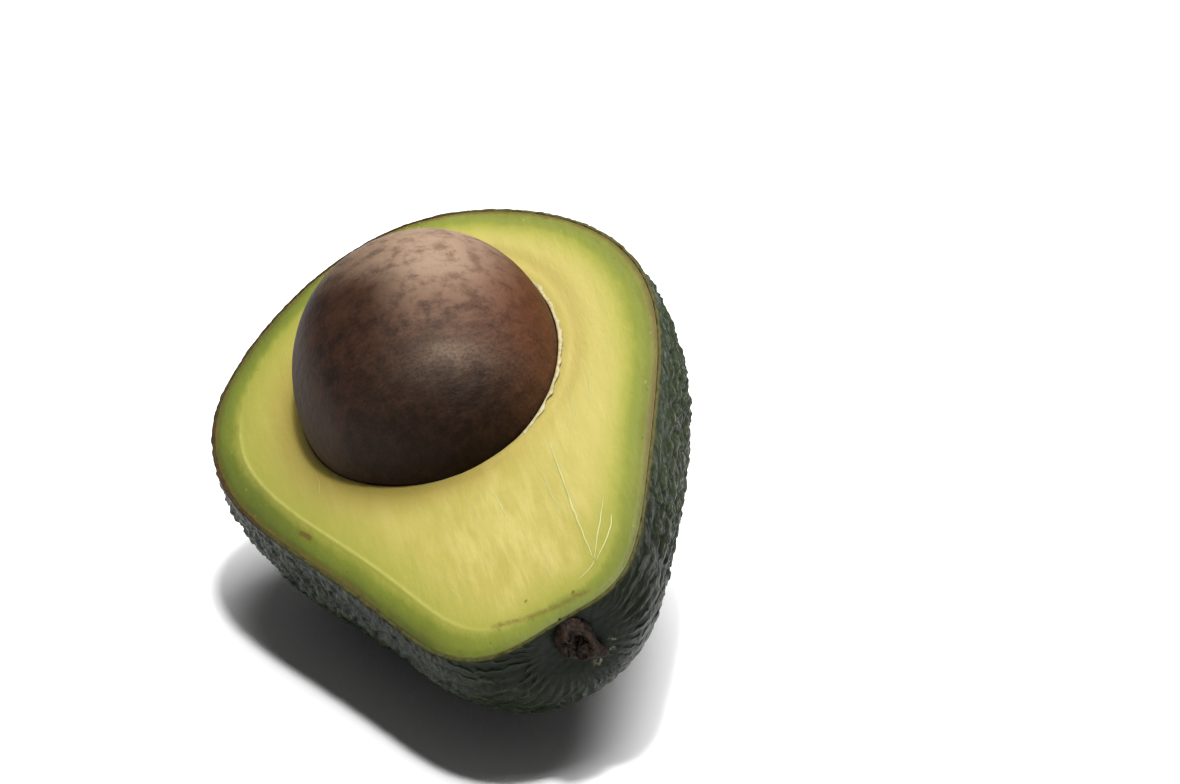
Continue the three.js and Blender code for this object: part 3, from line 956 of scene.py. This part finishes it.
class AVOCADO_OT_peel(bpy.types.Operator):
    """Builds the pebbled peel with its dried cut edge"""

    bl_idname = "avocado.peel"
    bl_label = "Peel"

    around: IntProperty(name="Around", description="Points round the peel", default=600)
    rows: IntProperty(name="Rows", description="Rows from the bottom to the cut", default=148)

    def execute(self, context):
        look = settings("avocado_peel")
        turns = ring_turns(self.around)[None, :]
        dip = 0.5 * np.pi * (1.0 - np.arange(1, self.rows + 1) / self.rows)[:, None]
        smooth = bowl_points(0.0, turns, dip)
        height, tops, near_stem = pebble_relief(smooth)
        moat = 1.0 - smoothstep(2.6 * MM, 5.2 * MM, from_stem_line(smooth))
        height -= 0.12 * MM * moat * (smooth[..., 1] < 0.0)
        outer = smooth + height[..., None] * row_normals(smooth)
        outer[-1, :, 2] = 0.0
        meet_face(outer, smooth[..., 2])
        inner_dip = 0.5 * np.pi * np.linspace(0.0, 1.0, 7)[:-1, None]
        inner = bowl_points(look.thickness, turns, inner_dip)
        meet_face(inner, inner[..., 2])
        lip = np.array([0.25, 0.6])[:, None, None]
        cut_edge = outer[-1] + lip * (inner[0] - outer[-1]) + 0.06 * MM * UP
        rows = np.concatenate([press_resting_spot(outer), cut_edge, press_resting_spot(inner, PRESSED_PEEL)])
        cut = np.zeros(rows.shape[:2])
        cut[self.rows :] = 1.0
        cut[self.rows - 1] = 0.45
        flat = np.zeros((len(rows) - self.rows, self.around))
        attributes = {
            "pebble": np.concatenate([tops, flat]),
            "near_stem": np.concatenate([near_stem, flat]),
            "cut": cut,
        }
        first = press_resting_spot(bowl_pole(0.0))[0]
        last = press_resting_spot(bowl_pole(look.thickness), PRESSED_PEEL)[0]
        piece = poled_piece("peel", first, rows, last, attributes, peel_finish())
        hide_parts("skin")
        return {"FINISHED"}


# Marks on the cut face, as places across and along the fruit, and for a speck also its radius
BRUISE = np.array([[-4.4, -41.4], [0.2, -42.5], [4.7, -42.8], [8.1, -42.3]]) * MM
NICK = np.array([[-25.2, -7.4], [-24.4, -8.6], [-24.2, -9.3]]) * MM
SPECKS = np.array([[6.6, -41.5, 0.35], [0.5, -39.4, 0.35]]) * MM


class AVOCADO_OT_flesh(bpy.types.Operator):
    """Builds the flesh with its cut face and the hollow that the seed sits in"""

    bl_idname = "avocado.flesh"
    bl_label = "Flesh"

    around: IntProperty(name="Around", description="Points round the flesh", default=480)
    rows: IntProperty(name="Rows", description="Rows across the cut face", default=112)
    seed_gap: length("Seed gap", "Clearance round the seed", 0.12)

    def execute(self, context):
        look = settings("avocado_flesh")
        depth = settings("avocado_peel").thickness + 0.02 * MM
        turns = ring_turns(self.around)[None, :]
        outer_dip = 0.5 * np.pi * (1.0 - np.arange(1, 9) / 8.0)[:, None]
        outer = bowl_points(depth, turns, outer_dip)
        rim = outer[-1]
        rim[:, 2] = 0.0
        mouth = mouth_points(turns[0], self.seed_gap)
        share = (np.arange(1, self.rows + 1) / (self.rows + 1.0))[:, None, None]
        face = rim + share * (mouth - rim)
        seed = settings("avocado_seed")
        mouth_dip = np.arcsin(seed.raised / (seed.half_height + self.seed_gap))
        hollow_dip = np.linspace(mouth_dip, 0.5 * np.pi, 16)[:-1, None]
        hollow = seed_points(turns, hollow_dip, self.seed_gap)
        on_face = np.concatenate([outer[-1:], face, hollow[:1]])
        from_peel = distance_to_path(on_face, np.concatenate([rim, rim[:1]])[::4])
        from_seed = distance_to_path(on_face, np.concatenate([mouth, mouth[:1]])[::4])
        from_peel[0] = 0.0
        from_seed[-1] = 0.0
        on_face[..., 2] = face_height(on_face, from_peel, from_seed)
        meet_face(outer[:-1], outer[:-1, :, 2])
        rows = np.concatenate([press_resting_spot(outer[:-1], PRESSED_FLESH), on_face, hollow[1:]])
        x, y = on_face[..., 0], on_face[..., 1]
        stain = 0.72 * bell(distance_to_path(on_face, BRUISE), 1.0 * MM)
        stain = np.maximum(stain, 1.2 * bell(distance_to_path(on_face, NICK), 0.45 * MM))
        for right, along, radius in SPECKS:
            stain = np.maximum(stain, 1.3 * bell(np.hypot(x - right, y - along), radius))
        crease = beside_bevel(on_face) * bell(from_peel - look.bevel_width, 0.22 * MM)
        groove = along_groove(on_face, from_seed, 1.0 * MM)
        rows_off_face = ((len(outer) - 1, len(hollow) - 1), (0, 0))
        depths = {"from_peel": from_peel, "from_seed": from_seed}
        marks = {"stain": stain, "crease": crease, "groove": groove}
        attributes = {key: np.pad(value, rows_off_face, mode="edge") for key, value in depths.items()}
        attributes |= {key: np.pad(value, rows_off_face) for key, value in marks.items()}
        first = press_resting_spot(bowl_pole(depth), PRESSED_FLESH)[0]
        last = seed_points(np.zeros(1), np.full(1, 0.5 * np.pi), self.seed_gap)[0]
        piece = poled_piece("pulp", first, rows, last, attributes, flesh_finish())
        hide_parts("flesh")
        return {"FINISHED"}


class AVOCADO_OT_seed(bpy.types.Operator):
    """Builds the smooth mottled seed"""

    bl_idname = "avocado.seed"
    bl_label = "Seed"

    around: IntProperty(name="Around", description="Points round the seed", default=340)
    rows: IntProperty(name="Rows", description="Rows from pole to pole", default=170)

    def execute(self, context):
        turns = ring_turns(self.around)[None, :]
        first_dip = 0.5 * np.pi * (1.0 - 2.0 / (self.rows + 1))
        dip = np.linspace(first_dip, -first_dip, self.rows)[:, None]
        rows = seed_points(turns, dip, 0.0)
        uneven = 0.16 * MM * lattice_noise(rows, 11 * MM, 51)
        uneven += 0.035 * MM * layered_noise(rows, 2.2 * MM, 53, 3)
        wear = settings("avocado_seed").wear
        rows = rows + (uneven - wear)[..., None] * row_normals(rows)
        poles = seed_points(np.zeros(2), np.array([0.5, -0.5]) * np.pi, -wear)
        piece = poled_piece("stone", poles[0], rows, poles[1], {}, seed_finish())
        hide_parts("seed")
        return {"FINISHED"}


# Section of the coat, from deep in the gap to its free edge: how far out in widths, its place over the cut
# face, and how much it lifts
FOLD = [
    (-0.02, -1.1 * MM, 0.0),
    (0.0, -0.30 * MM, 0.0),
    (0.12, 0.0, 0.55),
    (0.30, 0.0, 1.0),
    (0.62, 0.0, 0.62),
    (1.0, 0.0, 0.18),
]


class AVOCADO_OT_coat(bpy.types.Operator):
    """Builds the frayed papery coat left between the seed and the flesh"""

    bl_idname = "avocado.coat"
    bl_label = "Seed coat"

    around: IntProperty(name="Around", description="Points round the seed", default=520)
    width: length("Width", "Widest fold on the flesh", 0.75)

    def execute(self, context):
        turn = ring_turns(self.around)
        mouth = mouth_points(turn, 0.05 * MM)
        along = np.roll(mouth, -1, axis=0) - np.roll(mouth, 1, axis=0)
        outwards = np.cross(along, UP)
        outwards /= np.linalg.norm(outwards, axis=1, keepdims=True)
        facing = np.cos(turn + 0.55)
        fray = layered_noise(mouth, 2.2 * MM, 61, 3)
        amount = np.clip(smoothstep(-0.55, 0.8, facing) * (0.50 + 0.9 * fray), 0.0, 1.3) + 0.22
        width = (self.width * amount)[:, None]
        rise = (0.16 * MM * amount + 0.05 * MM)[:, None]
        half_thickness = 0.055 * MM
        out, over, lift = (np.array(column)[:, None, None] for column in zip(*FOLD))
        centre = mouth + outwards * width * out + UP * (over + rise * lift)
        run = np.gradient(centre, axis=0)
        across = np.cross(run, along[None])
        across /= np.maximum(np.linalg.norm(across, axis=-1, keepdims=True), 1e-12)
        thin = np.linspace(1.0, 0.5, len(FOLD))[:, None, None] * half_thickness
        loop = np.concatenate([centre + across * thin, (centre - across * thin)[::-1]])
        sides = len(loop)
        side = np.arange(sides)[:, None]
        place = np.arange(self.around)[None, :]
        after = (place + 1) % self.around
        beyond = (side + 1) % sides
        index = [side * self.around + place, beyond * self.around + place]
        index += [beyond * self.around + after, side * self.around + after]
        quads = np.stack(np.broadcast_arrays(*index), -1).reshape(-1, 4)
        points = loop.reshape(-1, 3)
        quads, tris = facing_out(points, quads, np.zeros((0, 3), dtype=int))
        new_piece("seed_coat", points, quads, tris, {}, coat_finish())
        return {"FINISHED"}


# Strands that the photograph shows, as places across and along the fruit and a radius, in millimetres
SHOWN_STRANDS = [
    ([(10.8, -12.0), (10.5, -21.0), (10.2, -29.0), (10.6, -37.7)], 0.15),
    ([(14.7, -27.3), (13.4, -30.5), (11.8, -34.2), (10.6, -37.8)], 0.11),
    ([(14.9, -30.9), (14.3, -33.2), (12.6, -35.8), (10.7, -38.0)], 0.12),
    ([(10.6, -37.7), (9.9, -38.5), (9.0, -39.2), (7.6, -39.8)], 0.10),
    ([(1.2, -16.9), (1.5, -18.8), (1.7, -20.6), (1.9, -22.4)], 0.08),
    ([(8.2, -17.0), (8.4, -20.0), (8.7, -24.0), (8.6, -28.0)], 0.07),
]


class AVOCADO_OT_strands(bpy.types.Operator):
    """Builds the pale strands that lie in the cut face"""

    bl_idname = "avocado.strands"
    bl_label = "Strands"

    fine_count: IntProperty(name="Fine strands", description="Fine strands along the flesh", default=26)
    steps: IntProperty(name="Steps", description="Steps along a strand", default=22)
    sides: IntProperty(name="Sides", description="Sides of a strand", default=8)
    random_seed: IntProperty(name="Random seed", description="Draw of the fine strands", default=12)

    def paths(self):
        """Cubic curves through the shown strands, and fine ones that run along the fruit round the seed."""
        s = np.linspace(0.0, 1.0, self.steps)[:, None]
        weights = [(1 - s) ** 3, 3 * s * (1 - s) ** 2, 3 * s**2 * (1 - s), s**3]
        lines, radii = [], []
        for knots, radius in SHOWN_STRANDS:
            lines.append(sum(w * np.array(k) * MM for w, k in zip(weights, knots)))
            radii.append(radius * MM)
        draw = np.random.default_rng(self.random_seed)
        seed = settings("avocado_seed")
        for _ in range(self.fine_count):
            start = np.array([draw.uniform(-21, 21), draw.uniform(-40, 34)]) * MM
            run = draw.uniform(3.0, 9.0) * MM
            y = start[1] + run * (s[:, 0] - 0.5)
            squeeze = 1.0 - 0.42 * smoothstep(0.0, -40 * MM, y)
            x = start[0] * squeeze + draw.uniform(-0.5, 0.5) * MM * np.sin(3.0 * s[:, 0] + draw.uniform(0, 6))
            gap = np.hypot((x - seed.right) / seed.half_width, (y - seed.along) / seed.half_length)
            if gap.min() > 1.10:
                lines.append(np.stack([x, y], -1))
                radii.append(draw.uniform(0.030, 0.055) * MM)
        return np.stack(lines), np.array(radii)

    def execute(self, context):
        lines, radii = self.paths()
        shape = lines.shape[:2]
        middle = np.concatenate([lines, np.zeros((*shape, 1))], -1)
        wander = lattice_noise(middle, 2.5 * MM, 71)[..., None] * 0.16 * MM
        middle[..., :1] += wander
        edge = bowl_points(0.0, ring_turns(160)[None, :], np.zeros((1, 1)))[0]
        mouth = mouth_points(ring_turns(160), 0.12 * MM)
        from_peel = distance_to_path(middle, np.concatenate([edge, edge[:1]]))
        from_seed = distance_to_path(middle, np.concatenate([mouth, mouth[:1]]))
        middle[..., 2] = face_height(middle, from_peel - settings("avocado_peel").thickness, from_seed)
        kept = from_peel.min(axis=1) > 5.0 * MM
        kept[: len(SHOWN_STRANDS)] = True
        middle, radii = middle[kept], radii[kept]
        run = np.gradient(middle, axis=1)
        run /= np.linalg.norm(run, axis=-1, keepdims=True)
        beside = np.cross(run, UP)
        beside /= np.linalg.norm(beside, axis=-1, keepdims=True)
        s = np.linspace(0.0, 1.0, self.steps)
        taper = np.sqrt(np.clip(4.0 * s * (1.0 - s), 0.0, 1.0)) * 0.9 + 0.1
        angle = ring_turns(self.sides)
        radius = radii[:, None, None, None] * taper[None, :, None, None]
        ring = np.cos(angle)[:, None] * beside[:, :, None, :] + 0.40 * np.sin(angle)[:, None] * UP
        rows = middle[:, :, None, :] + radius * ring
        points, quads, tris = [], [], []
        each = self.steps * self.sides + 2
        for i, strand in enumerate(rows):
            points.append(np.concatenate([middle[i, :1], strand.reshape(-1, 3), middle[i, -1:]]))
            four, three = poled_faces(self.steps, self.sides, i * each)
            quads.append(four)
            tris.append(three)
        points, quads, tris = np.concatenate(points), np.concatenate(quads), np.concatenate(tris)
        quads, tris = facing_out(points, quads, tris)
        new_piece("strands", points, quads, tris, {}, strand_finish())
        return {"FINISHED"}


class AVOCADO_OT_stem(bpy.types.Operator):
    """Builds the dry stem stub in its hollow: an uneven oval wall round a cup, with a spine, pit and root"""

    bl_idname = "avocado.stem"
    bl_label = "Stem stub"

    around: IntProperty(name="Around", description="Points round the stub", default=160)
    rows: IntProperty(name="Rows", description="Rows from the buried end to the top", default=110)

    def execute(self, context):
        look = settings("avocado_stem")
        floor = sink_at_stem(np.array([[look.right, STEM_END, -look.below]]))[0, 1]
        s = np.linspace(0.0, 1.0, self.rows)[:, None]
        angle = ring_turns(self.around)[None, :]
        up_side = smoothstep(0.0, 1.0, np.minimum(s / 0.5, 1.0))
        inwards = np.clip((s - 0.5) / 0.5, 0.0, 1.0) * 0.985
        reach = 1.0 / np.hypot(np.cos(angle) / look.half_width, np.sin(angle) / look.half_height)
        around = np.stack([np.cos(angle), np.sin(angle), 0.0 * angle], -1)
        uneven = layered_noise(around * 3.0 * MM, 3.4 * MM, 83, 3)
        rim = look.stands * (0.86 + 0.42 * uneven + 0.16 * np.sin(angle))
        height = -look.buried + (look.buried + rim) * up_side
        radius = reach * (1.0 - inwards) * (1.0 + 0.12 * uneven) * smoothstep(-0.05, 0.08, s)
        radius = radius * (1.0 - 0.10 * smoothstep(0.35, 0.5, s))
        right = radius * np.cos(angle)
        above = radius * np.sin(angle)
        cup = look.cup * smoothstep(0.04, 0.40, inwards)
        spine = look.spine * bell(right + 0.3 * MM, 0.75 * MM) * smoothstep(0.0, 0.25, inwards)
        pit = look.pit * bell(np.hypot(right - 1.0 * MM, above - 1.5 * MM), 0.80 * MM)
        height = height - cup + spine - pit * smoothstep(0.0, 0.2, inwards)
        place = np.stack(np.broadcast_arrays(right, above, height), -1)
        cracks = np.abs(layered_noise(place * np.array([1.0, 0.45, 0.7]), 1.3 * MM, 81, 3))
        cleft = smoothstep(0.11, 0.0, cracks)
        knots = layered_noise(place, 1.7 * MM, 87, 3)
        height = height + smoothstep(0.45, 0.6, s) * (0.30 * MM * knots - 0.35 * MM * cleft)
        side = 1.0 - smoothstep(0.5, 0.6, s)
        from_root = angle - np.radians(304)
        root = look.root * bell(from_root, 0.24) * bell(height - 0.9 * MM, 0.75 * MM)
        collar = look.collar * bell(height - 0.2 * MM, 0.8 * MM)
        radius = radius + side * (collar + root + 0.22 * MM * knots - 0.15 * MM * cleft)
        x = look.right + radius * np.cos(angle)
        z = look.raised - look.below + radius * np.sin(angle)
        y = floor - height
        rows = np.stack(np.broadcast_arrays(x, y, z), -1)
        first = rows[0].mean(axis=0)
        last = rows[-1].mean(axis=0)
        attributes = {"cleft": np.broadcast_to(cleft, rows.shape[:2])}
        piece = poled_piece("stub", first, rows, last, attributes, stem_finish())
        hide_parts("stem_stub")
        return {"FINISHED"}


# Camera, for a photograph of 1180 by 784: the turn from the cut frame to the view is one rotation vector,
# and the start of the cut frame is this many metres from the lens, along the view's axes
VIEW_TURN = Vector((-0.86134, -0.22658, 0.39123))
VIEW_OFFSET = np.array([-0.018187, -0.003889, -0.518158])
SENSOR_WIDTH = 36.0
FOCAL_LENGTH = 115.95

# Brightness of the surround where the camera looks straight at it
SEEN_SURROUND = 1.05

# Place of each light, its two sides, and the direction over the floor that its first side follows
KEY_LIGHT = (Vector((-0.04, -0.31, 1.2)), (0.12, 0.12), Vector((1, 0, 0)))
OVERHEAD_LIGHT = (Vector((0.19, 0.065, 1.2)), (0.87, 1.0), Vector((0.87, 0.5, 0)))


class AVOCADO_OT_stage(bpy.types.Operator):
    """Adds the pale floor, the studio lights and the camera"""

    bl_idname = "avocado.stage"
    bl_label = "Stage"

    def execute(self, context):
        look = settings("avocado_stage")
        self.add_floor(look)
        self.add_surround(look)
        self.add_softbox("key", look.key_power, *KEY_LIGHT)
        self.add_softbox("overhead", look.soft_power, *OVERHEAD_LIGHT)
        self.add_camera()
        return {"FINISHED"}

    def add_floor(self, look):
        side, front, back = look.floor_side, -look.floor_front, look.floor_back
        corners = [(-side, front, 0), (side, front, 0), (side, back, 0), (-side, back, 0)]
        mesh = bpy.data.meshes.new("floor")
        mesh.from_pydata(corners, [], [(0, 1, 2, 3)])
        mesh.materials.append(floor_finish())
        floor = bpy.data.objects.new("floor", mesh)
        bpy.context.scene.collection.objects.link(floor)

    def add_surround(self, look):
        world = bpy.data.worlds.new("white_surround")
        world.use_nodes = True
        nodes = world.node_tree.nodes
        links = world.node_tree.links
        background = nodes["Background"]
        background.inputs["Color"].default_value = (1.0, 1.0, 1.0, 1.0)
        path = nodes.new("ShaderNodeLightPath")
        strength = nodes.new("ShaderNodeMapRange")
        strength.inputs["To Min"].default_value = look.surround
        strength.inputs["To Max"].default_value = SEEN_SURROUND
        links.new(path.outputs["Is Camera Ray"], strength.inputs["Value"])
        links.new(strength.outputs[0], background.inputs["Strength"])
        bpy.context.scene.world = world

    def add_softbox(self, name, power, place, size, along):
        """A rectangular light that faces the fruit, with its first side along a direction over the floor."""
        light = bpy.data.lights.new(name, "AREA")
        light.shape = "RECTANGLE"
        light.size, light.size_y = size
        light.energy = power
        back = place.normalized()
        side = (along - back * along.dot(back)).normalized()
        axes = Matrix((side, back.cross(side), back)).transposed()
        lamp = bpy.data.objects.new(name, light)
        lamp.matrix_world = Matrix.Translation(place) @ axes.to_4x4()
        bpy.context.scene.collection.objects.link(lamp)

    def add_camera(self):
        lens = bpy.data.cameras.new("camera")
        lens.sensor_fit = "HORIZONTAL"
        lens.sensor_width = SENSOR_WIDTH
        lens.lens = FOCAL_LENGTH
        lens.clip_start = 0.01
        camera = bpy.data.objects.new("camera", lens)
        turn, shift = lie()
        view = np.array(Matrix.Rotation(VIEW_TURN.length, 3, VIEW_TURN))
        stands = -view.T @ VIEW_OFFSET
        axes = turn @ view.T
        place = Matrix(axes.tolist()).to_4x4()
        place.translation = Vector(turn @ stands + shift)
        camera.matrix_world = place
        bpy.context.scene.collection.objects.link(camera)
        bpy.context.scene.camera = camera


class AVOCADO_PT_panel(bpy.types.Panel):
    """Lists the avocado's sizes, colours and pieces"""

    bl_idname = "AVOCADO_PT_panel"
    bl_label = "Halved avocado"
    bl_space_type = "VIEW_3D"
    bl_region_type = "UI"
    bl_category = "Avocado"

    def draw(self, context):
        for name, label, group in SETTINGS:
            box = self.layout.box()
            box.label(text=label)
            for key in group.__annotations__:
                box.prop(getattr(context.scene, name), key)
        for operator in OPERATORS:
            self.layout.operator(operator.bl_idname)


SETTINGS = (
    ("avocado_fruit", "Fruit", FruitShape),
    ("avocado_peel", "Peel", PeelLook),
    ("avocado_flesh", "Flesh", FleshLook),
    ("avocado_seed", "Seed", SeedLook),
    ("avocado_stem", "Stem", StemLook),
    ("avocado_stage", "Stage", StageLook),
)

OPERATORS = (
    AVOCADO_OT_stage,
    AVOCADO_OT_peel,
    AVOCADO_OT_flesh,
    AVOCADO_OT_seed,
    AVOCADO_OT_coat,
    AVOCADO_OT_strands,
    AVOCADO_OT_stem,
)


def register():
    for name, _, group in SETTINGS:
        bpy.utils.register_class(group)
        setattr(bpy.types.Scene, name, PointerProperty(type=group))
    for entry in (*OPERATORS, AVOCADO_PT_panel):
        bpy.utils.register_class(entry)


def unregister():
    for entry in (AVOCADO_PT_panel, *reversed(OPERATORS)):
        bpy.utils.unregister_class(entry)
    for name, _, group in reversed(SETTINGS):
        delattr(bpy.types.Scene, name)
        bpy.utils.unregister_class(group)


def main():
    register()
    for operator in OPERATORS:
        family, action = operator.bl_idname.split(".")
        getattr(getattr(bpy.ops, family), action)()
    bpy.context.scene.view_settings.view_transform = "Standard"


if __name__ == "__main__":
    main()
